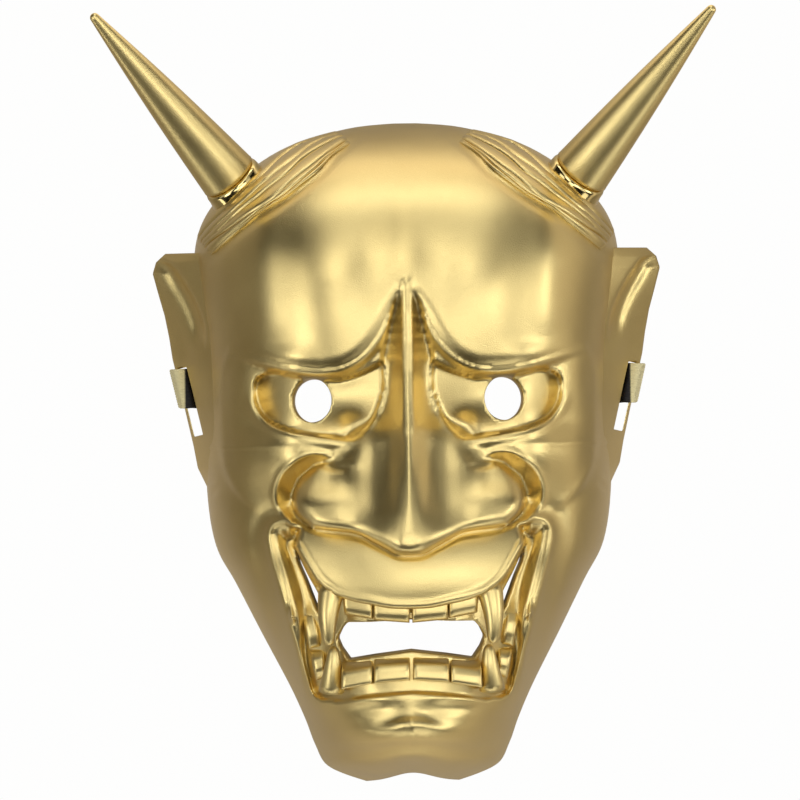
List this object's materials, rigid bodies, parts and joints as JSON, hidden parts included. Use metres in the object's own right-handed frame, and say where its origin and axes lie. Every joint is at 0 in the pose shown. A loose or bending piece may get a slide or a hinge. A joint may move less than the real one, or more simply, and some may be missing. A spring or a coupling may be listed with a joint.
{
  "type": "hannya mask",
  "caption": "Horned demon face mask moulded in gold plastic, hollow at the back, with open eyes and mouth, plug-on horns and an elastic head strap.",
  "frame": {"origin": "on the surface the mask lies on, under the middle of its bounding box", "axes": "the mask lies on its back: +Z out of the face, +Y from the chin to the horns, +X to the viewer's right"},
  "size_m": [0.2188, 0.271, 0.1039],
  "materials": {
    "gold_plastic": "satin metallic gold paint on moulded plastic",
    "elastic": "ribbed black elastic webbing with gold ribs at the ends"
  },
  "bodies": {
    "root": {"mask_shell": "gold_plastic", "left_horn": "gold_plastic", "right_horn": "gold_plastic", "head_strap": "elastic"}
  },
  "joints": []
}
